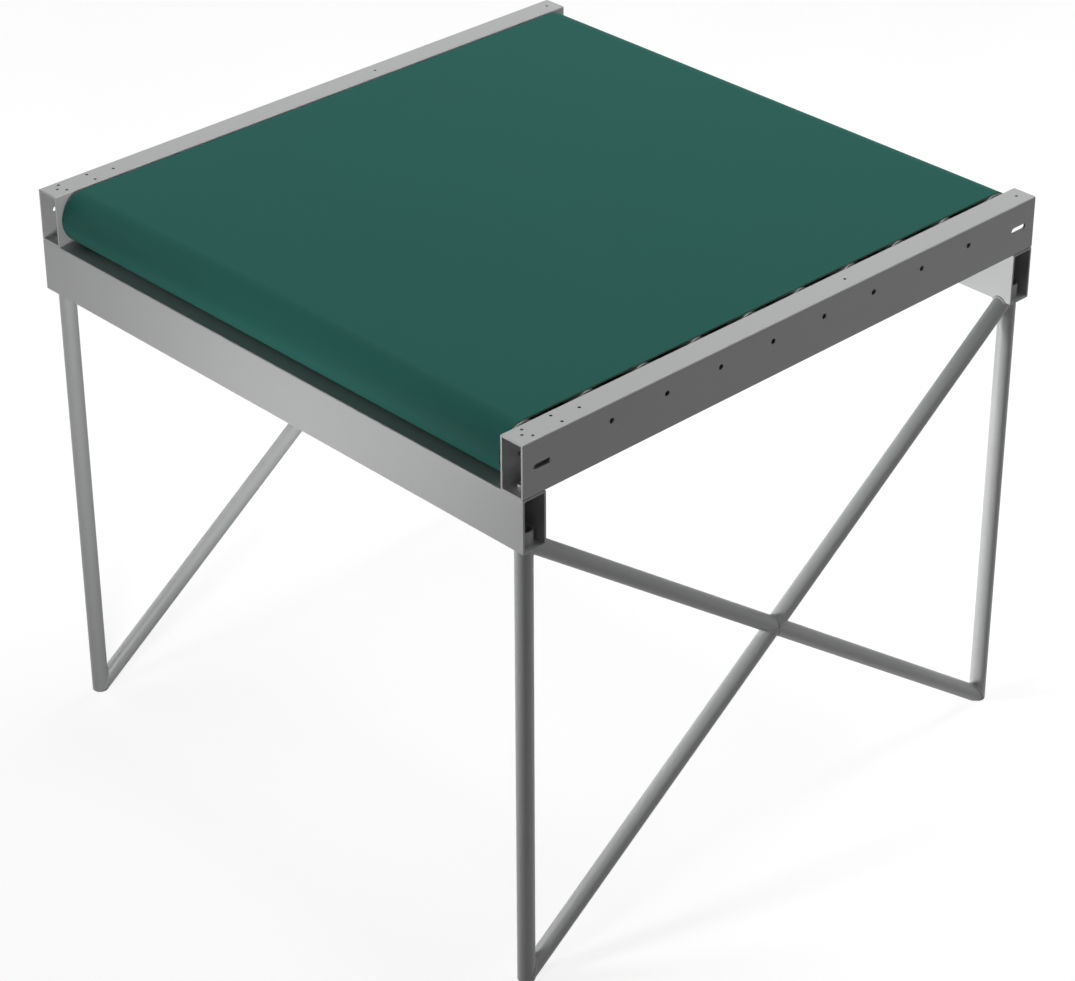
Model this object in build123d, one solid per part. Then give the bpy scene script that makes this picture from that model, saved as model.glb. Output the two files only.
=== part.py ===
# Belt conveyor: a wide belt over rollers, on a frame of rectangular tube with round tube legs
# Millimetres. X runs across the belt, Y along it (the head end is at -Y), Z is up.
# Pieces are placed with Y counted from the frame's head end, and moved as one at the end,
# so that the origin is on the floor under the middle of the whole conveyor.
import os
from math import acos, cos, pi, radians, sin, tan

from build123d import *

# Frame
FRAME_WIDTH = 1000
FRAME_LENGTH = 1000
RAIL_TOP = 860
SECTION_HEIGHT = 80
SECTION_WIDTH = 40
SECTION_WALL = 3
SECTION_CORNER = 2
SECTION_INNER_CORNER = 0.5

# Legs and braces, all of one round tube
TUBE_DIAMETER = 25
TUBE_WALL = 2
LEG_ENTRY = 24
LEG_PLUG_FLANGE = 1.5
LEG_PLUG_DEPTH = 18
LEG_PLUG_RIBS = (5, 9, 13)
LEG_PLUG_RIB_WIDTH = 1.5
BRACE_FOOT_RISE = 5
WELD_GAP = 0.05

# Belt
BELT_WIDTH = 908
BELT_THICKNESS = 2
BELT_CLEARANCE = 0.3

# Head and tail drums
DRUM_DIAMETER = 75
DRUM_WALL = 3
DRUM_FACE = 912
DRUM_AXLE = 20
DRUM_DROP = 39
HEAD_Y = 43
TAIL_Y = 963

# Bearings in the drums' ends
BEARING_RADIUS = 16
BEARING_WIDTH = 10
BEARING_INSET = 5
BEARING_RING = 1.8

# Bed rollers under the carrying side of the belt
ROLLER_DIAMETER = 50
ROLLER_WALL = 1.5
ROLLER_AXLE = 12
ROLLER_DROP = 26.5
ROLLER_COUNT = 8
ROLLER_PITCH = 100
ROLLER_FIRST_Y = 155
RUNNING_FIT = 0.05

# Screws and the holes for them
M8 = 8
M8_HOLE = 8.4
M8_HEAD = 13
M8_KEY = 6
M8_NUT = 13
M8_NUT_HEIGHT = 6.5
SCREW_REACH = 20
WASHER = 16
WASHER_THICKNESS = 1.6
KEY_HOLE = 8
FLANGE_HOLE = 4.5
CORNER_SCREW_INSET = 18
KEY_SLOT_LENGTH = 30
KEY_SLOT_INSET = 34
AXLE_SLOT_LENGTH = 32
GUIDE_ROW_Y = (117, 617)
GUIDE_PLATE_Y = (27, 77)
GUIDE_PLATE_SPREAD = 20

# Motor and gears inside the head drum
GEAR_MODULE = 1
ROTOR_TEETH = 10
LAY_GEAR_TEETH = 22
LAY_PINION_TEETH = 12
RING_TEETH = 44
GEAR_BACKLASH = 0.12
PRESSURE_ANGLE = radians(20)
ROOT_DEPTH = 1.25
GEAR_WIDTH = 8
RING_WIDTH = 14
RING_START_X = 396
MOTOR_LENGTH = 190
MOTOR_RADIUS = 30
MOTOR_WALL = 4
MOTOR_AIR_GAP = 0.4
ROTOR_RADIUS = 15
ROTOR_SHAFT = 4
ROTOR_CORE = 110
ROTOR_CORE_BACK = 26
LAY_PIN = 3
CARRIER_DISC = 10
CARRIER_CAP = 6
BRIDGE_RADIUS = 18.5

# Levels and places that follow from the sizes above
RAIL_X = FRAME_WIDTH / 2 - SECTION_WIDTH / 2
RAIL_BOTTOM = RAIL_TOP - SECTION_HEIGHT
CROSS_BOTTOM = RAIL_BOTTOM - SECTION_HEIGHT
INNER_FACE = FRAME_WIDTH / 2 - SECTION_WIDTH
INNER_WEB = (INNER_FACE, INNER_FACE + SECTION_WALL)
OUTER_WEB = (FRAME_WIDTH / 2 - SECTION_WALL, FRAME_WIDTH / 2)
DRUM_Z = RAIL_TOP - DRUM_DROP
ROLLER_Z = RAIL_TOP - ROLLER_DROP
DRUM_RADIUS = DRUM_DIAMETER / 2
BELT_INNER_RADIUS = DRUM_RADIUS + BELT_CLEARANCE
BELT_OUTER_RADIUS = BELT_INNER_RADIUS + BELT_THICKNESS
LEG_Y = (SECTION_WIDTH / 2, FRAME_LENGTH - SECTION_WIDTH / 2)
CORNER_YS = (CORNER_SCREW_INSET, FRAME_LENGTH - CORNER_SCREW_INSET)
CORNER_PLACES = [(x, y) for x in (RAIL_X, -RAIL_X) for y in CORNER_YS]
ROLLER_YS = [ROLLER_FIRST_Y + ROLLER_PITCH * i for i in range(ROLLER_COUNT)]
MIDDLE_Y = (TAIL_Y + BELT_OUTER_RADIUS) / 2
LAY_OFFSET = GEAR_MODULE * (ROTOR_TEETH + LAY_GEAR_TEETH) / 2
WHEEL_START_X = RING_START_X - 2 - GEAR_WIDTH
CARRIER_START_X = WHEEL_START_X - 4
CARRIER_END_X = RING_START_X + RING_WIDTH + 2
MOTOR_END_X = CARRIER_START_X - CARRIER_DISC
MOTOR_START_X = MOTOR_END_X - MOTOR_LENGTH


def rod_x(radius, start, end, y, z):
    """Round bar along X from start to end."""
    return Pos((start + end) / 2, y, z) * Rot(0, 90, 0) * Cylinder(radius, end - start)


def rod_z(radius, bottom, top, x, y):
    """Round bar along Z from bottom to top."""
    return Pos(x, y, (bottom + top) / 2) * Cylinder(radius, top - bottom)


def ring_x(outer, inner, start, end, y, z):
    """Round tube along X, from its outer and inner radii."""
    return rod_x(outer, start, end, y, z) - rod_x(inner, start - 1, end + 1, y, z)


def bar_x(outline, start, end, y, z):
    """A flat outline drawn on the YZ plane, drawn out along X from start to end."""
    return Pos(start, y, z) * extrude(Plane.YZ * outline, end - start)


def hexagon(across_flats):
    """Regular hexagon by its size across the flats."""
    return RegularPolygon(across_flats / 2, 6, major_radius=False)


def section_profile():
    """Hollow rectangular section with rounded corners, upright."""
    inner_width = SECTION_WIDTH - 2 * SECTION_WALL
    inner_height = SECTION_HEIGHT - 2 * SECTION_WALL
    outside = RectangleRounded(SECTION_WIDTH, SECTION_HEIGHT, SECTION_CORNER)
    return outside - RectangleRounded(inner_width, inner_height, SECTION_INNER_CORNER)


def flange_holes():
    """Cutters for the holes through a rail's top flange: for guide fittings, and one at each end."""
    places = [(0, y) for y in (*GUIDE_ROW_Y, *CORNER_YS)]
    for side in (-1, 1):
        places += [(side * GUIDE_PLATE_SPREAD / 2, y) for y in GUIDE_PLATE_Y]
    bottom = RAIL_TOP - SECTION_WALL - 1
    return [rod_z(FLANGE_HOLE / 2, bottom, RAIL_TOP + 1, RAIL_X + x, y) for x, y in places]


def web_holes():
    """Cutters for a rail's webs: screw holes inside, key holes and key slots outside."""
    inside = (INNER_WEB[0] - 1, INNER_WEB[1] + 1)
    outside = (OUTER_WEB[0] - 1, OUTER_WEB[1] + 1)
    cutters = []
    for y in ROLLER_YS:
        cutters.append(rod_x(M8_HOLE / 2, *inside, y, ROLLER_Z))
        cutters.append(rod_x(KEY_HOLE / 2, *outside, y, ROLLER_Z))
    for y in (HEAD_Y, TAIL_Y):
        cutters.append(bar_x(SlotOverall(AXLE_SLOT_LENGTH, M8_HOLE), *inside, y, DRUM_Z))
    for y in (KEY_SLOT_INSET, FRAME_LENGTH - KEY_SLOT_INSET):
        cutters.append(bar_x(SlotOverall(KEY_SLOT_LENGTH, KEY_HOLE), *outside, y, DRUM_Z))
    return cutters


def side_rail():
    """Right-hand rail: an open-ended rectangular tube with all its holes."""
    rail = extrude(Plane.XZ * section_profile(), -FRAME_LENGTH)
    rail = Pos(RAIL_X, 0, RAIL_TOP - SECTION_HEIGHT / 2) * rail
    rail -= flange_holes()
    rail -= web_holes()
    floor = (RAIL_BOTTOM - 1, RAIL_BOTTOM + SECTION_WALL + 1)
    for y in CORNER_YS:
        rail -= rod_z(M8_HOLE / 2, *floor, RAIL_X, y)
    return rail


def cross_member(inset):
    """Cross-member under both rails' ends, with holes for its legs and for the corner screws.
    inset is the corner screws' distance from the middle of its width."""
    beam = extrude(Plane.YZ * section_profile(), FRAME_WIDTH)
    beam = Pos(-FRAME_WIDTH / 2, 0, CROSS_BOTTOM + SECTION_HEIGHT / 2) * beam
    for side in (-1, 1):
        x = side * RAIL_X
        beam -= rod_z(TUBE_DIAMETER / 2, CROSS_BOTTOM - 1, CROSS_BOTTOM + SECTION_WALL + 1, x, 0)
        beam -= rod_z(M8_HOLE / 2, RAIL_BOTTOM - SECTION_WALL - 1, RAIL_BOTTOM + 1, x, inset)
    return beam


def leg():
    """Round tube leg on the Z axis, standing on its plug and running up into the cross-member."""
    outer = TUBE_DIAMETER / 2
    top = CROSS_BOTTOM + LEG_ENTRY
    tube = rod_z(outer, LEG_PLUG_FLANGE, top, 0, 0)
    return tube - rod_z(outer - TUBE_WALL, 0, top + 1, 0, 0)


def leg_plug():
    """Plastic plug in the foot of a leg: a domed flange under the tube and a ribbed stem in it."""
    bore = TUBE_DIAMETER / 2 - TUBE_WALL
    flange = rod_z(TUBE_DIAMETER / 2, 0, LEG_PLUG_FLANGE, 0, 0)
    flange = chamfer(flange.edges().group_by(Axis.Z)[0], LEG_PLUG_FLANGE / 2)
    plug = flange + rod_z(bore - 1, 0, LEG_PLUG_DEPTH, 0, 0)
    for height in LEG_PLUG_RIBS:
        plug += rod_z(bore - WELD_GAP, height, height + LEG_PLUG_RIB_WIDTH, 0, 0)
    return plug


def brace_bar(x, start_y, end_y, radius):
    """Solid bar along a brace's axis, from the foot of one leg to the head of the other."""
    foot = Vector(x, start_y, BRACE_FOOT_RISE)
    axis = Vector(x, end_y, CROSS_BOTTOM + BRACE_FOOT_RISE) - foot
    plane = Plane(origin=foot, x_dir=(1, 0, 0), z_dir=axis)
    return extrude(plane * Circle(radius), axis.length)


def brace_obstacles(x):
    """What a brace is cut round: both legs, the cross-members, and the floor."""
    hanging = (Align.CENTER, Align.CENTER, Align.MAX)
    floor = Box(SECTION_WIDTH, 2 * FRAME_LENGTH, SECTION_HEIGHT, align=hanging)
    cuts = [Pos(x, MIDDLE_Y, LEG_PLUG_FLANGE) * floor]
    for y in LEG_Y:
        cuts.append(rod_z(TUBE_DIAMETER / 2 + WELD_GAP, -1, RAIL_BOTTOM, x, y))
        member = Box(SECTION_WIDTH, SECTION_WIDTH + 2 * WELD_GAP, SECTION_HEIGHT + 2 * WELD_GAP)
        cuts.append(Pos(x, y, CROSS_BOTTOM + SECTION_HEIGHT / 2) * member)
    return cuts


def braces(x):
    """The crossed braces of one side: the through brace, then the upper and lower halves of the
    other one, each coped round the legs, the cross-members and the through brace."""
    outer = TUBE_DIAMETER / 2
    inner = outer - TUBE_WALL
    front, rear = LEG_Y
    through = brace_bar(x, front, rear, outer) - brace_bar(x, front, rear, inner) - brace_obstacles(x)
    crossing = brace_bar(x, rear, front, outer) - brace_bar(x, rear, front, inner) - brace_obstacles(x)
    halves = (crossing - brace_bar(x, front, rear, outer + WELD_GAP)).solids().sort_by(Axis.Z)
    return largest(through), halves[-1], halves[0]


def largest(shape):
    """The biggest solid of a cut shape."""
    return shape.solids().sort_by(SortBy.VOLUME)[-1]


def socket_screw(length):
    """M8 socket-head screw along +Z, its head's underside at the origin and its shank below."""
    head = Pos(0, 0, M8 / 2) * Cylinder(M8_HEAD / 2, M8)
    socket = Pos(0, 0, M8 / 2) * extrude(hexagon(M8_KEY), M8)
    return head + Pos(0, 0, -length / 2) * Cylinder(M8 / 2, length) - socket


def washer():
    """Flat washer, standing on the XY plane."""
    disc = Cylinder(WASHER / 2, WASHER_THICKNESS) - Cylinder(M8_HOLE / 2, WASHER_THICKNESS)
    return Pos(0, 0, WASHER_THICKNESS / 2) * disc


def screws_in_web(places, gap=0):
    """Screws and washers inside the rails, through the inner webs, into the ends of the axles.
    gap is left between the webs and washers that slide on them."""
    pieces = []
    for y, z in places:
        for side in (1, -1):
            turn = Pos(side * (INNER_WEB[1] + gap), y, z) * Rot(0, side * 90, 0)
            pieces.append(turn * washer())
            pieces.append(turn * Pos(0, 0, WASHER_THICKNESS) * socket_screw(SCREW_REACH))
    return pieces


def tapped_hole(side, y, z):
    """Cutter for the screw's hole in the end of an axle at the inner web on one side."""
    ends = sorted((side * (INNER_FACE + 1), side * (INNER_FACE - SCREW_REACH)))
    return rod_x(M8 / 2 + RUNNING_FIT, *ends, y, z)


def belt():
    """Endless belt round both drums: a stadium-shaped loop as wide as the belt."""
    reach = TAIL_Y - HEAD_Y
    loop = SlotCenterToCenter(reach, 2 * BELT_OUTER_RADIUS) - SlotCenterToCenter(reach, 2 * BELT_INNER_RADIUS)
    return bar_x(loop, -BELT_WIDTH / 2, BELT_WIDTH / 2, (HEAD_Y + TAIL_Y) / 2, DRUM_Z)


def roller_tube(y):
    """Steel tube of one bed roller."""
    radius = ROLLER_DIAMETER / 2
    return ring_x(radius, radius - ROLLER_WALL, -DRUM_FACE / 2, DRUM_FACE / 2, y, ROLLER_Z)


def roller_end(y, side):
    """Moulded bearing end of a bed roller: a dished disc, a rim in the tube and a hub on the axle."""
    bore = ROLLER_DIAMETER / 2 - ROLLER_WALL
    hub = ROLLER_AXLE / 2 + 5
    face = DRUM_FACE / 2
    outline = Polyline((hub, face + 2), (hub, face - 1), (bore - 4, face - 3), (bore - 2, face), (bore, face),
                       (bore, face - 14), (bore - 2, face - 14), (bore - 3, face - 7), (hub, face - 5),
                       (hub, face - 16), (ROLLER_AXLE / 2 + RUNNING_FIT, face - 16),
                       (ROLLER_AXLE / 2 + RUNNING_FIT, face + 2), close=True)
    turned = revolve(Plane.XZ * make_face(outline), Axis.Z)
    return Pos(0, y, ROLLER_Z) * Rot(0, side * 90, 0) * turned


def roller_axle(y):
    """Fixed axle of a bed roller, clamped between the inner webs."""
    bar = rod_x(ROLLER_AXLE / 2, -INNER_FACE, INNER_FACE, y, ROLLER_Z)
    return bar - [tapped_hole(side, y, ROLLER_Z) for side in (1, -1)]


def drum_shell(y):
    """Steel shell of a drum."""
    return ring_x(DRUM_RADIUS, DRUM_RADIUS - DRUM_WALL, -DRUM_FACE / 2, DRUM_FACE / 2, y, DRUM_Z)


def drum_end(y, side):
    """End disc of a drum: a rim in the shell, a web, and a housing for the bearing."""
    bore = DRUM_RADIUS - DRUM_WALL
    face = DRUM_FACE / 2
    seat_end = face - BEARING_INSET
    housing_end = seat_end - BEARING_WIDTH - 1
    lip = DRUM_AXLE / 2 + 1
    outline = Polyline((lip, face - 2), (bore - 5, face - 2), (bore - 3, face), (bore, face),
                       (bore, face - 20), (bore - 4, face - 20), (bore - 6, face - 8),
                       (BEARING_RADIUS + 5, face - 8), (BEARING_RADIUS + 4, housing_end),
                       (BEARING_RADIUS, housing_end), (BEARING_RADIUS, seat_end),
                       (lip, seat_end), close=True)
    turned = revolve(Plane.XZ * make_face(outline), Axis.Z)
    return Pos(0, y, DRUM_Z) * Rot(0, side * 90, 0) * turned


def drum_bearings(y):
    """Ball bearings in both ends of a drum: two rings and a shielded middle, as one turned ring."""
    bore = DRUM_AXLE / 2 + RUNNING_FIT
    race, shell = bore + BEARING_RING, BEARING_RADIUS - BEARING_RING
    front = DRUM_FACE / 2 - BEARING_INSET
    back = front - BEARING_WIDTH
    shield = 0.6
    outline = Polyline((bore, back), (bore, front), (race, front), (race, front - shield),
                       (shell, front - shield), (shell, front), (BEARING_RADIUS, front),
                       (BEARING_RADIUS, back), (shell, back), (shell, back + shield),
                       (race, back + shield), (race, back), close=True)
    turned = revolve(Plane.XZ * make_face(outline), Axis.Z)
    return [Pos(0, y, DRUM_Z) * Rot(0, side * 90, 0) * turned for side in (1, -1)]


def tail_axle():
    """Axle of the tail drum, whose screws slide in the inner webs' slots to take up the belt."""
    reach = INNER_FACE - RUNNING_FIT
    bar = rod_x(DRUM_AXLE / 2, -reach, reach, TAIL_Y, DRUM_Z)
    return bar - [tapped_hole(side, TAIL_Y, DRUM_Z) for side in (1, -1)]


def involute(angle):
    """Involute of a pressure angle in radians."""
    return tan(angle) - angle


def gear_outline(teeth, addendum, dedendum, slack):
    """Closed outline of a spur gear of the shared module, with a tooth centred on +X.
    slack is taken off each flank, or added to it where it is negative."""
    pitch = GEAR_MODULE * teeth / 2
    base = pitch * cos(PRESSURE_ANGLE)
    tip, root = pitch + addendum, pitch - dedendum
    start = max(root, base)
    waist = (start + tip) / 2
    half_pitch = pi / (2 * teeth) - slack / pitch + involute(PRESSURE_ANGLE)

    def point(radius, middle, side):
        angle = middle + side * (half_pitch - involute(acos(base / max(radius, start))))
        return (radius * cos(angle), radius * sin(angle))

    edges = []
    for i in range(teeth):
        middle = 2 * pi * i / teeth
        following = middle + 2 * pi / teeth
        rising = ThreePointArc(*[point(r, middle, -1) for r in (start, waist, tip)])
        falling = ThreePointArc(*[point(r, middle, 1) for r in (tip, waist, start)])
        foot = Line(point(root, middle, 1), point(root, following, -1))
        edges += [rising, Line(rising @ 1, falling @ 0), falling, foot]
        if root < base:
            edges += [Line(point(root, middle, -1), rising @ 0), Line(falling @ 1, foot @ 0)]
    return make_face(edges)


def spur(teeth, start, end):
    """External gear on the X axis."""
    outline = gear_outline(teeth, GEAR_MODULE, ROOT_DEPTH * GEAR_MODULE, GEAR_BACKLASH / 2)
    return bar_x(outline, start, end, 0, 0)


def at_head(shape):
    """Move a piece made on the X axis to the head drum's axis."""
    return Pos(0, HEAD_Y, DRUM_Z) * shape


def ring_gear():
    """Internal gear pressed in the head drum's shell."""
    end = RING_START_X + RING_WIDTH
    body = rod_x(DRUM_RADIUS - DRUM_WALL, RING_START_X, end, 0, 0)
    gap = gear_outline(RING_TEETH, ROOT_DEPTH * GEAR_MODULE, GEAR_MODULE, -GEAR_BACKLASH / 2)
    return at_head(body - bar_x(gap, RING_START_X - 1, end + 1, 0, 0))


def lay_gear():
    """Lay gear: a wheel driven by the rotor and a pinion that drives the ring gear, on one bore."""
    wheel_end = WHEEL_START_X + GEAR_WIDTH
    end = RING_START_X + RING_WIDTH
    wheel = Rot(180 / LAY_GEAR_TEETH, 0, 0) * spur(LAY_GEAR_TEETH, WHEEL_START_X, wheel_end)
    gear = wheel + spur(LAY_PINION_TEETH, wheel_end, end)
    gear -= rod_x(LAY_PIN + RUNNING_FIT, WHEEL_START_X - 1, end + 1, 0, 0)
    return at_head(Pos(0, LAY_OFFSET, 0) * gear)


def rotor():
    """Motor rotor: a laminated core, its shaft, and the pinion cut on the shaft's end."""
    core_end = MOTOR_END_X - ROTOR_CORE_BACK
    core = rod_x(ROTOR_RADIUS, core_end - ROTOR_CORE, core_end, 0, 0)
    shaft = rod_x(ROTOR_SHAFT, MOTOR_START_X + 16, WHEEL_START_X - 1, 0, 0)
    neck = rod_x(ROTOR_SHAFT - 0.5, WHEEL_START_X - 2, WHEEL_START_X + 1, 0, 0)
    return at_head(core + shaft + neck + spur(ROTOR_TEETH, WHEEL_START_X, WHEEL_START_X + GEAR_WIDTH))


def motor_can():
    """Motor housing with its stator pack as one sealed can, closed by a flange on the cable side."""
    bore = MOTOR_RADIUS - MOTOR_WALL
    floor = MOTOR_START_X + 8
    core_end = MOTOR_END_X - ROTOR_CORE_BACK
    can = rod_x(MOTOR_RADIUS, MOTOR_START_X, MOTOR_END_X, 0, 0) - rod_x(bore, floor, MOTOR_END_X + 1, 0, 0)
    stator = ring_x(bore, ROTOR_RADIUS + MOTOR_AIR_GAP, core_end - ROTOR_CORE, core_end, 0, 0)
    bearing = rod_x(2 * ROTOR_SHAFT, floor, floor + 18, 0, 0)
    bearing -= rod_x(ROTOR_SHAFT + RUNNING_FIT, floor + 6, floor + 19, 0, 0)
    return at_head(can + stator + bearing)


def gear_carrier():
    """Fixed frame of the gears: a disc that closes the motor, a bridge inside the ring gear, an end
    disc in front of the right axle, and the pin on which the lay gear turns."""
    disc = rod_x(MOTOR_RADIUS, MOTOR_END_X, CARRIER_START_X, 0, 0)
    disc -= rod_x(ROTOR_SHAFT + RUNNING_FIT, MOTOR_END_X - 1, CARRIER_START_X + 1, 0, 0)
    ring = ring_x(BRIDGE_RADIUS, DRUM_AXLE / 2, CARRIER_START_X, CARRIER_END_X, 0, 0)
    half = Box(100, BRIDGE_RADIUS, 2 * BRIDGE_RADIUS, align=(Align.CENTER, Align.MAX, Align.CENTER))
    bridge = ring & Pos(RING_START_X, -3, 0) * half
    cap = rod_x(BRIDGE_RADIUS + 1, CARRIER_END_X, CARRIER_END_X + CARRIER_CAP, 0, 0)
    pin = rod_x(LAY_PIN, CARRIER_START_X, CARRIER_END_X, LAY_OFFSET, 0)
    return at_head(disc + bridge + cap + pin)


def head_axle_right():
    """Right stub axle of the head drum, from the gear carrier to the inner web."""
    bar = rod_x(DRUM_AXLE / 2, CARRIER_END_X + CARRIER_CAP, INNER_FACE, HEAD_Y, DRUM_Z)
    return bar - tapped_hole(1, HEAD_Y, DRUM_Z)


def head_axle_left():
    """Left axle of the head drum, flanged to the motor."""
    bar = rod_x(DRUM_AXLE / 2, -INNER_FACE, MOTOR_START_X, HEAD_Y, DRUM_Z)
    bar += rod_x(MOTOR_RADIUS - 6, MOTOR_START_X - 8, MOTOR_START_X, HEAD_Y, DRUM_Z)
    return bar - tapped_hole(-1, HEAD_Y, DRUM_Z)


def corner_screws():
    """Screws that clamp the rails on the cross-members, standing on the rails' floors."""
    seat = RAIL_BOTTOM + SECTION_WALL
    return [Pos(x, y, seat) * socket_screw(SCREW_REACH) for x, y in CORNER_PLACES]


def corner_nuts():
    """Nuts of the corner screws, inside the cross-members."""
    top = RAIL_BOTTOM - SECTION_WALL
    nut = extrude(hexagon(M8_NUT), -M8_NUT_HEIGHT) - Cylinder(M8 / 2, 4 * M8_NUT_HEIGHT)
    return [Pos(x, y, top) * nut for x, y in CORNER_PLACES]


def frame_pieces():
    """Rails, cross-members, legs, braces and what holds them together."""
    inset = CORNER_SCREW_INSET - SECTION_WIDTH / 2
    rail = side_rail()
    pieces = {
        "side_rail_right": rail,
        "side_rail_left": mirror(rail, Plane.YZ),
        "cross_member_front": Pos(0, LEG_Y[0], 0) * cross_member(inset),
        "cross_member_rear": Pos(0, LEG_Y[1], 0) * cross_member(-inset),
        "corner_screws": corner_screws(),
        "corner_nuts": corner_nuts(),
        "leg_plugs": [Pos(x, y, 0) * leg_plug() for x in (RAIL_X, -RAIL_X) for y in LEG_Y],
    }
    for side, x in (("right", RAIL_X), ("left", -RAIL_X)):
        through, upper, lower = braces(x)
        pieces[f"brace_{side}_through"] = through
        pieces[f"brace_{side}_upper"] = upper
        pieces[f"brace_{side}_lower"] = lower
        for end, y in (("front", LEG_Y[0]), ("rear", LEG_Y[1])):
            pieces[f"leg_{end}_{side}"] = Pos(x, y, 0) * leg()
    return pieces


def bed_pieces():
    """Belt, bed rollers and their fixings."""
    pieces = {"belt": belt(), "roller_screws": screws_in_web([(y, ROLLER_Z) for y in ROLLER_YS])}
    for number, y in enumerate(ROLLER_YS, start=1):
        pieces[f"roller_tube_{number}"] = roller_tube(y)
        pieces[f"roller_ends_{number}"] = [roller_end(y, 1), roller_end(y, -1)]
        pieces[f"roller_axle_{number}"] = roller_axle(y)
    return pieces


def drum_pieces():
    """Head drum with the motor inside it, and the tail drum with its take-up."""
    return {
        "head_shell": drum_shell(HEAD_Y),
        "head_ends": [drum_end(HEAD_Y, 1), drum_end(HEAD_Y, -1)],
        "head_bearings": drum_bearings(HEAD_Y),
        "head_axle_right": head_axle_right(),
        "head_axle_left": head_axle_left(),
        "head_screws": screws_in_web([(HEAD_Y, DRUM_Z)]),
        "motor_can": motor_can(),
        "motor_rotor": rotor(),
        "gear_carrier": gear_carrier(),
        "lay_gear": lay_gear(),
        "ring_gear": ring_gear(),
        "tail_shell": drum_shell(TAIL_Y),
        "tail_ends": [drum_end(TAIL_Y, 1), drum_end(TAIL_Y, -1)],
        "tail_bearings": drum_bearings(TAIL_Y),
        "tail_axle": tail_axle(),
        "tail_screws": screws_in_web([(TAIL_Y, DRUM_Z)], gap=RUNNING_FIT),
    }


def write_parts():
    """Move every piece into the shared frame and write it to its own file."""
    os.makedirs("parts", exist_ok=True)
    place = Pos(0, -MIDDLE_Y, 0)
    for name, shape in {**frame_pieces(), **bed_pieces(), **drum_pieces()}.items():
        solids = shape if isinstance(shape, list) else [shape]
        moved = [place * solid for solid in solids]
        export_step(moved[0] if len(moved) == 1 else Compound(children=moved), f"parts/{name}.step")


write_parts()
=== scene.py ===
# Belt conveyor: a wide green belt over steel rollers, carried on a frame of rectangular tube
# with four round tube legs and crossed side braces. Metres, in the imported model's own frame:
# X runs across the belt, the head end is at -Y, and the floor is at Z 0.
from math import cos, pi, radians, sin, sqrt

import bpy
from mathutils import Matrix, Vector


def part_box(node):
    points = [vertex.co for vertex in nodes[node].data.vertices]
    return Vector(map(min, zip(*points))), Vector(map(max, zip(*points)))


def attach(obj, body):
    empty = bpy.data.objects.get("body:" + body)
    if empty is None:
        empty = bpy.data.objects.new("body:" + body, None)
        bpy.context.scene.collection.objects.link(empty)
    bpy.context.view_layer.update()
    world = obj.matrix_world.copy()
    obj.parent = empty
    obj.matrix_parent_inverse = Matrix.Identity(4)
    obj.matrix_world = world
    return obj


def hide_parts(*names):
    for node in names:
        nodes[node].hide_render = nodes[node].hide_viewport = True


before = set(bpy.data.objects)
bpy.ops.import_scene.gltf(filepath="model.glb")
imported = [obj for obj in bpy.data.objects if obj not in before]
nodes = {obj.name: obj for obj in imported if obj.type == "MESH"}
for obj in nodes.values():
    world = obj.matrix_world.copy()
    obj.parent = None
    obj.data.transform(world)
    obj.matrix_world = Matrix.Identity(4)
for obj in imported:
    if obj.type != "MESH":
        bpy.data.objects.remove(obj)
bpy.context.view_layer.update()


# Camera
# It stands off the right front corner and looks down on the belt. Its place, lens and shift
# come from straight edges and hole rows of the real thing, measured in the photograph.
camera_data = bpy.data.cameras.new("camera")
camera_data.sensor_fit = "HORIZONTAL"
camera_data.sensor_width = 36
camera_data.lens = 107.65
camera_data.shift_x = -0.0188
camera_data.shift_y = -0.0932
camera_data.clip_end = 50
camera = bpy.data.objects.new("camera", camera_data)
camera.location = (2.9740, -2.8297, 2.8649)
camera.rotation_euler = (radians(60.445), 0, radians(46.008))
bpy.context.scene.collection.objects.link(camera)
bpy.context.scene.camera = camera


# Floor and light
# A pale studio floor that shows as white and keeps the conveyor's shadow. A small lamp close to
# the middle of the head end, a broad one behind it, one above and a faint even sky light the
# front and the top, so that the right side stays in shade.
FLOOR_REACH = 8
FLOOR_TONE = (0.22, 0.22, 0.22, 1)
FLOOR_LIFT = 0.84
SKY_LEVEL = 0.05


def node(tree, kind, sockets=None, **settings):
    """Add a shader node. sockets maps its inputs to plain values or to other nodes' outputs."""
    made = tree.nodes.new(kind)
    for name, value in settings.items():
        setattr(made, name, value)
    for name, value in (sockets or {}).items():
        if isinstance(value, bpy.types.NodeSocket):
            tree.links.new(value, made.inputs[name])
        else:
            made.inputs[name].default_value = value
    return made


def seen_directly(tree):
    """1 where the camera, a reflection or a view through glass sees the surface, otherwise 0."""
    path = node(tree, "ShaderNodeLightPath").outputs
    pair = {0: path["Is Camera Ray"], 1: path["Is Glossy Ray"]}
    pair = node(tree, "ShaderNodeMath", pair, operation="MAXIMUM")
    both = {0: pair.outputs[0], 1: path["Is Transmission Ray"]}
    return node(tree, "ShaderNodeMath", both, operation="MAXIMUM").outputs[0]


def lamp(name, place, target, size, power, even=False):
    """Square soft lamp at place, turned towards target. An even one doesn't fade with distance."""
    data = bpy.data.lights.new(name, "AREA")
    data.size = size
    data.energy = power
    if even:
        data.use_nodes = True
        falloff = node(data.node_tree, "ShaderNodeLightFalloff", {"Strength": 1.0})
        strength = data.node_tree.nodes["Emission"].inputs["Strength"]
        data.node_tree.links.new(falloff.outputs["Constant"], strength)
    lamp_object = bpy.data.objects.new(name, data)
    lamp_object.location = place
    lamp_object.rotation_euler = (Vector(target) - Vector(place)).to_track_quat("-Z", "Y").to_euler()
    lamp_object.visible_camera = False
    bpy.context.scene.collection.objects.link(lamp_object)


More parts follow.
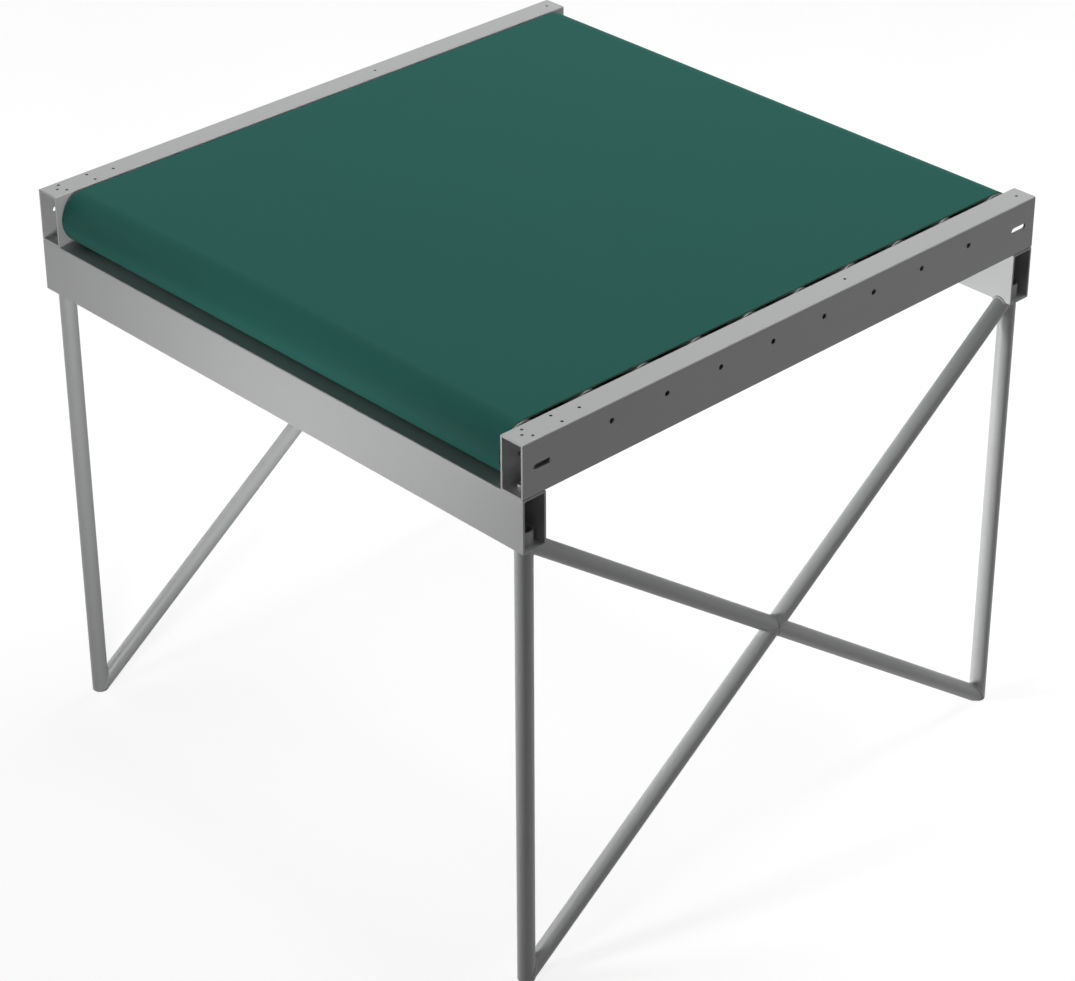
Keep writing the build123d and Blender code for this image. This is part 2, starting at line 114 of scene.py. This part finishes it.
floor_mesh = bpy.data.meshes.new("floor")
corners = [(-FLOOR_REACH, -FLOOR_REACH, 0), (FLOOR_REACH, -FLOOR_REACH, 0),
           (FLOOR_REACH, FLOOR_REACH, 0), (-FLOOR_REACH, FLOOR_REACH, 0)]
floor_mesh.from_pydata(corners, [], [(0, 1, 2, 3)])
floor = bpy.data.objects.new("floor", floor_mesh)
bpy.context.scene.collection.objects.link(floor)
floor_finish = bpy.data.materials.new("studio_floor")
floor_finish.use_nodes = True
tree = floor_finish.node_tree
tree.nodes.remove(tree.nodes["Principled BSDF"])
matt = node(tree, "ShaderNodeBsdfDiffuse", {"Color": FLOOR_TONE})
lift = node(tree, "ShaderNodeMath", {0: seen_directly(tree), 1: FLOOR_LIFT}, operation="MULTIPLY")
glow = node(tree, "ShaderNodeEmission", {"Strength": lift.outputs[0]})
both = node(tree, "ShaderNodeAddShader", {0: matt.outputs[0], 1: glow.outputs[0]})
tree.links.new(both.outputs[0], tree.nodes["Material Output"].inputs["Surface"])
floor_mesh.materials.append(floor_finish)

world = bpy.data.worlds.new("studio")
bpy.context.scene.world = world
world.use_nodes = True
tree = world.node_tree
level = node(tree, "ShaderNodeMath", {0: seen_directly(tree), 1: SKY_LEVEL}, operation="MAXIMUM")
tree.nodes["Background"].inputs["Color"].default_value = (1, 1, 1, 1)
tree.links.new(level.outputs[0], tree.nodes["Background"].inputs["Strength"])
bpy.context.scene.view_settings.view_transform = "Standard"

lamp("head_lamp", (0.08, -0.95, 0.69), (0, 0.5, 0.69), 0.2, 7.6, even=True)
lamp("low_lamp", (0.05, -0.40, 0.35), (0, 0.5, 0.6), 0.3, 5.0, even=True)
lamp("left_lamp", (-3.6, -1.6, 1.2), (0, 0, 0.6), 1.6, 32)
lamp("right_lamp", (8.0, 3.2, 2.4), (0, 0, 0.6), 2.4, 40)
lamp("top_lamp", (0.0, 1.1, 5.0), (0, 0.2, 0.8), 2.4, 150)


# Frame tubes
# Rectangular and round steel tube, welded or screwed together and powder coated light grey.
# The coat has a fine orange peel, slight changes of tone, and is rubbed thin along the edges.
PAINT = (0.45, 0.455, 0.455, 1)
PAINT_RUBBED = (0.30, 0.30, 0.30, 1)


def effect(name, inputs, outputs):
    """Start a node group. inputs maps names to default values, outputs maps names to kinds."""
    tree = bpy.data.node_groups.new(name, "ShaderNodeTree")
    for label, value in inputs.items():
        kind = "NodeSocketColor" if isinstance(value, tuple) else "NodeSocketFloat"
        tree.interface.new_socket(label, in_out="INPUT", socket_type=kind).default_value = value
    for label, kind in outputs.items():
        tree.interface.new_socket(label, in_out="OUTPUT", socket_type=kind)
    return tree, tree.nodes.new("NodeGroupInput").outputs, tree.nodes.new("NodeGroupOutput")


def mottle_effect():
    """Tone that drifts slowly over a surface and speckles finely, kept near 1 by Amount."""
    tree, given, result = effect("mottle", {"Scale": 4.0, "Amount": 0.08}, {"Tone": "NodeSocketFloat"})
    place = node(tree, "ShaderNodeTexCoord").outputs["Object"]
    drift = node(tree, "ShaderNodeTexNoise", {"Vector": place, "Scale": given["Scale"], "Detail": 3})
    fine = node(tree, "ShaderNodeMath", {0: given["Scale"], 1: 60}, operation="MULTIPLY")
    speck = node(tree, "ShaderNodeTexNoise", {"Vector": place, "Scale": fine.outputs[0], "Detail": 2})
    halves = node(tree, "ShaderNodeMath", {0: drift.outputs["Fac"], 1: speck.outputs["Fac"]}, operation="ADD")
    centred = node(tree, "ShaderNodeMath", {0: halves.outputs[0], 1: 1.0}, operation="SUBTRACT")
    tone = {0: centred.outputs[0], 1: given["Amount"], 2: 1.0}
    tone = node(tree, "ShaderNodeMath", tone, operation="MULTIPLY_ADD")
    tree.links.new(tone.outputs[0], result.inputs["Tone"])
    return tree


def uneven_effect():
    """Fine unevenness of a surface, as a normal. Grain is in waves per metre, Height in metres."""
    given = {"Grain": 500.0, "Height": 0.00005}
    tree, given, result = effect("uneven", given, {"Normal": "NodeSocketVector"})
    place = node(tree, "ShaderNodeTexCoord").outputs["Object"]
    waves = node(tree, "ShaderNodeTexNoise", {"Vector": place, "Scale": given["Grain"], "Detail": 2})
    bump = {"Height": waves.outputs["Fac"], "Distance": given["Height"], "Strength": 1.0}
    bump = node(tree, "ShaderNodeBump", bump)
    tree.links.new(bump.outputs[0], result.inputs["Normal"])
    return tree


def rubbed_effect():
    """Mask of the places along sharp edges where a finish is rubbed, broken up by noise."""
    given = {"Width": 0.0012, "Amount": 1.0}
    tree, given, result = effect("rubbed_edges", given, {"Mask": "NodeSocketFloat"})
    place = node(tree, "ShaderNodeTexCoord").outputs["Object"]
    rounded = node(tree, "ShaderNodeBevel", {"Radius": given["Width"]}, samples=4)
    flat = node(tree, "ShaderNodeNewGeometry").outputs["Normal"]
    turn = node(tree, "ShaderNodeVectorMath", {0: rounded.outputs[0], 1: flat}, operation="DOT_PRODUCT")
    edge = {"Value": turn.outputs["Value"], "From Min": 0.985, "From Max": 0.90}
    edge = node(tree, "ShaderNodeMapRange", edge)
    patches = node(tree, "ShaderNodeTexNoise", {"Vector": place, "Scale": 45.0, "Detail": 4})
    patches = {"Value": patches.outputs["Fac"], "From Min": 0.42, "From Max": 0.62}
    patches = node(tree, "ShaderNodeMapRange", patches)
    mask = node(tree, "ShaderNodeMath", {0: edge.outputs[0], 1: patches.outputs[0]}, operation="MULTIPLY")
    mask = node(tree, "ShaderNodeMath", {0: mask.outputs[0], 1: given["Amount"]}, operation="MULTIPLY")
    tree.links.new(mask.outputs[0], result.inputs["Mask"])
    return tree


MOTTLE = mottle_effect()
UNEVEN = uneven_effect()
RUBBED = rubbed_effect()


def grouped(tree, group, sockets):
    """Place one of the shared effects in a material and give its outputs."""
    made = tree.nodes.new("ShaderNodeGroup")
    made.node_tree = group
    for name, value in sockets.items():
        made.inputs[name].default_value = value
    return made.outputs


def finish(name, colour, rubbed, roughness, metallic=0.0, tone=(4.0, 0.08), skin=(500.0, 0.00005),
           wear=1.0, gloss=0.5):
    """Material with a colour, its rubbed colour, mottling, an uneven skin and rubbed edges."""
    material = bpy.data.materials.new(name)
    material.use_nodes = True
    tree = material.node_tree
    shader = tree.nodes["Principled BSDF"]
    shader.inputs["Metallic"].default_value = metallic
    shader.inputs["Specular IOR Level"].default_value = gloss
    mottle = grouped(tree, MOTTLE, {"Scale": tone[0], "Amount": tone[1]})["Tone"]
    mask = grouped(tree, RUBBED, {"Width": 0.0012, "Amount": wear})["Mask"]
    skin = grouped(tree, UNEVEN, {"Grain": skin[0], "Height": skin[1]})["Normal"]
    toned = node(tree, "ShaderNodeVectorMath", {0: colour[:3], "Scale": mottle}, operation="SCALE")
    mixed = node(tree, "ShaderNodeMix", data_type="RGBA")
    tree.links.new(mask, mixed.inputs["Factor"])
    tree.links.new(toned.outputs[0], mixed.inputs["A"])
    mixed.inputs["B"].default_value = rubbed
    tree.links.new(mixed.outputs["Result"], shader.inputs["Base Color"])
    rough = node(tree, "ShaderNodeMath", {0: mottle, 1: roughness}, operation="MULTIPLY")
    tree.links.new(rough.outputs[0], shader.inputs["Roughness"])
    tree.links.new(skin, shader.inputs["Normal"])
    return material


def dress(material, *names):
    """Give CAD nodes a finish."""
    for name in names:
        nodes[name].data.materials.clear()
        nodes[name].data.materials.append(material)


powder_coat = finish("powder_coat", PAINT, PAINT_RUBBED, 0.42, tone=(3.0, 0.05), skin=(900.0, 0.00004))
SIDES = ("right", "left")
ENDS = ("front", "rear")
dress(powder_coat, *[f"side_rail_{side}" for side in SIDES])
dress(powder_coat, *[f"cross_member_{end}" for end in ENDS])
dress(powder_coat, *[f"leg_{end}_{side}" for end in ENDS for side in SIDES])
dress(powder_coat, *[f"brace_{side}_{part}" for side in SIDES for part in ("through", "upper", "lower")])


# Welds
# Small painted fillet welds close the joints of the round tubes: round the top of each leg,
# at both ends of each brace and where the braces cross. Each bead has the ripples of a hand weld.
TUBE_RADIUS = 0.0125
BRACE_RISE = 0.005
BEAD_RADIUS = 0.0019
RIPPLE_PITCH = 0.0016
BEAD_SIDES = 8
WELD_STEPS = 180


def weld_bead(name, path, closed):
    """Sweep a rippled bead along a path of points and let it ride on the frame."""
    count = len(path)
    length = 0
    verts, faces = [], []
    for i, point in enumerate(path):
        before, after = path[(i - 1) % count], path[(i + 1) % count]
        if not closed:
            before, after = path[max(i - 1, 0)], path[min(i + 1, count - 1)]
        along = (after - before).normalized()
        across = along.cross(Vector((1, 0, 0.3))).normalized()
        outward = along.cross(across)
        ripple = 1 + 0.10 * cos(2 * pi * length / RIPPLE_PITCH)
        length += (path[(i + 1) % count] - point).length
        for k in range(BEAD_SIDES):
            turn = 2 * pi * k / BEAD_SIDES
            offset = cos(turn) * across + sin(turn) * outward
            verts.append(point + BEAD_RADIUS * ripple * offset)
    for i in range(count if closed else count - 1):
        for k in range(BEAD_SIDES):
            row, following = i * BEAD_SIDES, (i + 1) % count * BEAD_SIDES
            over = (k + 1) % BEAD_SIDES
            faces.append((row + k, row + over, following + over, following + k))
    if not closed:
        faces.append(tuple(range(BEAD_SIDES - 1, -1, -1)))
        faces.append(tuple((count - 1) * BEAD_SIDES + k for k in range(BEAD_SIDES)))
    mesh = bpy.data.meshes.new(name)
    mesh.from_pydata(verts, [], faces)
    mesh.polygons.foreach_set("use_smooth", [True] * len(mesh.polygons))
    mesh.materials.append(powder_coat)
    bead = bpy.data.objects.new(name, mesh)
    bpy.context.scene.collection.objects.link(bead)
    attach(bead, "root")
    return bead


def leave_cylinder(point, along, centre, axis):
    """How far along a line the round tube with that centre and axis is met, from outside."""
    gap = point - centre
    gap -= gap.dot(axis) * axis
    flat = along - along.dot(axis) * axis
    b, c = gap.dot(flat), gap.dot(gap) - TUBE_RADIUS ** 2
    under = max(b * b - flat.dot(flat) * c, 0)
    return (-b - sqrt(under)) / flat.dot(flat)


def brace_ring(middle, along):
    """Points round a brace's outside at its middle, in the plane square to the brace's direction."""
    up = along.cross(Vector((1, 0, 0)))
    for i in range(WELD_STEPS):
        turn = 2 * pi * i / WELD_STEPS
        yield middle + TUBE_RADIUS * (cos(turn) * Vector((1, 0, 0)) + sin(turn) * up)


def middle_of(name, axis):
    """Middle of a CAD node along one axis."""
    low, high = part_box(name)
    return (low[axis] + high[axis]) / 2


under_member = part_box("cross_member_front")[0][2]
inner_side = {"front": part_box("cross_member_front")[1][1], "rear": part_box("cross_member_rear")[0][1]}
leg_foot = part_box("leg_front_right")[0][2]
for side in SIDES:
    x = middle_of(f"leg_front_{side}", 0)
    leg_y = {end: middle_of(f"leg_{end}_{side}", 1) for end in ENDS}
    for end in ENDS:
        ring = [Vector((x + TUBE_RADIUS * cos(2 * pi * i / WELD_STEPS), leg_y[end] + TUBE_RADIUS
                        * sin(2 * pi * i / WELD_STEPS), under_member)) for i in range(WELD_STEPS)]
        weld_bead(f"weld_leg_{end}_{side}", ring, True)
    for foot, head in (("front", "rear"), ("rear", "front")):
        low = Vector((x, leg_y[foot], BRACE_RISE))
        high = Vector((x, leg_y[head], under_member + BRACE_RISE))
        middle, along = (low + high) / 2, (high - low).normalized()
        upper_end, lower_end = [], []
        for point in brace_ring(middle, along):
            to_leg = leave_cylinder(point, along, high, Vector((0, 0, 1)))
            to_member = max((under_member - point.z) / along.z, (inner_side[head] - point.y) / along.y)
            upper_end.append(point + min(to_leg, to_member) * along)
            lower_end.append(point - leave_cylinder(point, -along, low, Vector((0, 0, 1))) * along)
        weld_bead(f"weld_brace_head_{head}_{side}", upper_end, True)
        above = [i for i, point in enumerate(lower_end) if point.z > leg_foot + BEAD_RADIUS]
        first = next(i for i in above if (i - 1) % WELD_STEPS not in above)
        run = [lower_end[(first + i) % WELD_STEPS] for i in range(len(above))]
        weld_bead(f"weld_brace_foot_{foot}_{side}", run, False)
        if foot == "front":
            through = along
        else:
            for part, way in (("upper", -along), ("lower", along)):
                start = middle - 0.2 * way
                joint = [point + leave_cylinder(point, way, middle, through) * way
                         for point in brace_ring(start, way)]
                weld_bead(f"weld_brace_{part}_{side}", joint, True)


# Leg plugs
# Moulded plastic plugs pressed into the legs' open feet, so that the tubes stand without
# scratching the floor. They show as a thin grey ring under each leg.
plug_plastic = finish("plug_plastic", (0.085, 0.088, 0.09, 1), (0.14, 0.14, 0.14, 1), 0.55,
                      tone=(20.0, 0.12), skin=(1500.0, 0.00004), wear=0.6)
dress(plug_plastic, "leg_plugs")


# Belt
# Endless belt of a woven carcass with a dark green rubbery cover, matt with a very fine grain.
# Its cut edges show the cover over the paler carcass, and the side on the rollers is bare weave.
BELT_COVER = (0.0145, 0.100, 0.082, 1)
BELT_WEAVE = (0.50, 0.52, 0.48, 1)
BELT_THICKNESS = 0.002
COVER_THICKNESS = 0.0013
BELT_EDGE = 0.0005
ARC_STEPS = 64

belt_low, belt_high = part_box("belt")
BELT_RADIUS = (belt_high[2] - belt_low[2]) / 2
BELT_HALF = belt_high[0]
axis_z = (belt_high[2] + belt_low[2]) / 2
head_y, tail_y = belt_low[1] + BELT_RADIUS, belt_high[1] - BELT_RADIUS


def belt_course():
    """Points of the belt's middle line and the directions out of it, all round the loop."""
    for i in range(ARC_STEPS + 1):
        turn = pi / 2 + pi * i / ARC_STEPS
        yield head_y, (cos(turn), sin(turn))
    for i in range(ARC_STEPS + 1):
        turn = -pi / 2 + pi * i / ARC_STEPS
        yield tail_y, (cos(turn), sin(turn))


def belt_section():
    """Half of the belt's cross-section: distance from the middle, and depth under the cover."""
    return [(BELT_HALF - 2 * BELT_EDGE, 0), (BELT_HALF - BELT_EDGE, 0.1 * BELT_EDGE),
            (BELT_HALF - 0.3 * BELT_EDGE, 0.4 * BELT_EDGE), (BELT_HALF, BELT_EDGE),
            (BELT_HALF, COVER_THICKNESS), (BELT_HALF, BELT_THICKNESS - 0.3 * BELT_EDGE),
            (BELT_HALF - 0.3 * BELT_EDGE, BELT_THICKNESS)]


section = belt_section()
section += [(-x, depth) for x, depth in reversed(section)]
verts, faces, bare = [], [], []
course = list(belt_course())
for y, out in course:
    for x, depth in section:
        reach = BELT_RADIUS - depth
        verts.append((x, y + reach * out[0], axis_z + reach * out[1]))
for i in range(len(course)):
    for k in range(len(section)):
        row, following = i * len(section), (i + 1) % len(course) * len(section)
        over = (k + 1) % len(section)
        faces.append((row + k, following + k, following + over, row + over))
        bare.append(4 <= k <= len(section) - 6)
belt_mesh = bpy.data.meshes.new("conveyor_belt")
belt_mesh.from_pydata(verts, [], faces)
belt_mesh.polygons.foreach_set("use_smooth", [True] * len(faces))
belt_mesh.polygons.foreach_set("material_index", [int(b) for b in bare])

belt_cover = finish("belt_cover", BELT_COVER, BELT_COVER, 0.72, tone=(5.0, 0.08), skin=(1400.0, 0.00006),
                    wear=0, gloss=0.12)
belt_weave = finish("belt_weave", BELT_WEAVE, BELT_WEAVE, 0.9, tone=(12.0, 0.20), skin=(900.0, 0.0002),
                    wear=0, gloss=0.2)
belt_mesh.materials.append(belt_cover)
belt_mesh.materials.append(belt_weave)
belt = bpy.data.objects.new("conveyor_belt", belt_mesh)
bpy.context.scene.collection.objects.link(belt)
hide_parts("belt")
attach(belt, "root")


# Bed rollers
# Eight zinc-plated steel tubes with grey moulded bearing ends, turning on plain steel axles
# that are clamped between the rails. Only their right ends show, in the gap beside the belt.
ROLLERS = range(1, 9)
zinc_tube = finish("zinc_tube", (0.56, 0.57, 0.58, 1), (0.68, 0.68, 0.68, 1), 0.34, metallic=1.0,
                   tone=(9.0, 0.16), skin=(700.0, 0.00002), wear=0.4)
moulding = finish("moulding", (0.36, 0.37, 0.38, 1), (0.42, 0.42, 0.42, 1), 0.5,
                  tone=(30.0, 0.15), skin=(1800.0, 0.00004), wear=0.5)
bright_steel = finish("bright_steel", (0.60, 0.60, 0.61, 1), (0.75, 0.75, 0.75, 1), 0.28, metallic=1.0,
                      tone=(14.0, 0.14), skin=(1300.0, 0.00001), wear=0.3)
dress(zinc_tube, *[f"roller_tube_{i}" for i in ROLLERS])
dress(moulding, *[f"roller_ends_{i}" for i in ROLLERS])
dress(bright_steel, *[f"roller_axle_{i}" for i in ROLLERS])


# Drums
# The head drum turns round its own motor and gears, the tail drum round a plain axle that
# slides in the rails' slots. Both have steel shells, cast end discs and sealed ball bearings.
cast_metal = finish("cast_metal", (0.50, 0.51, 0.52, 1), (0.72, 0.72, 0.72, 1), 0.45, metallic=1.0,
                    tone=(18.0, 0.18), skin=(1000.0, 0.00006), wear=0.6)
race_steel = finish("race_steel", (0.66, 0.66, 0.67, 1), (0.80, 0.80, 0.80, 1), 0.18, metallic=1.0,
                    tone=(25.0, 0.08), skin=(2200.0, 0.000004), wear=0.2)
gear_steel = finish("gear_steel", (0.33, 0.33, 0.34, 1), (0.62, 0.61, 0.60, 1), 0.36, metallic=1.0,
                    tone=(40.0, 0.15), skin=(1600.0, 0.00002), wear=0.8)
dress(zinc_tube, "head_shell", "tail_shell")
dress(cast_metal, "head_ends", "tail_ends", "motor_can", "gear_carrier")
dress(race_steel, "head_bearings", "tail_bearings")
dress(gear_steel, "motor_rotor", "lay_gear", "ring_gear")
dress(bright_steel, "head_axle_right", "head_axle_left", "tail_axle")


# Fasteners
# Zinc-plated socket-head screws, washers and nuts, reached with a key through the holes in the
# rails' outer sides and top.
zinc_plate = finish("zinc_plate", (0.58, 0.59, 0.57, 1), (0.72, 0.72, 0.70, 1), 0.30, metallic=1.0,
                    tone=(60.0, 0.14), skin=(2500.0, 0.00001), wear=0.5)
dress(zinc_plate, "corner_screws", "corner_nuts", "roller_screws", "head_screws", "tail_screws")
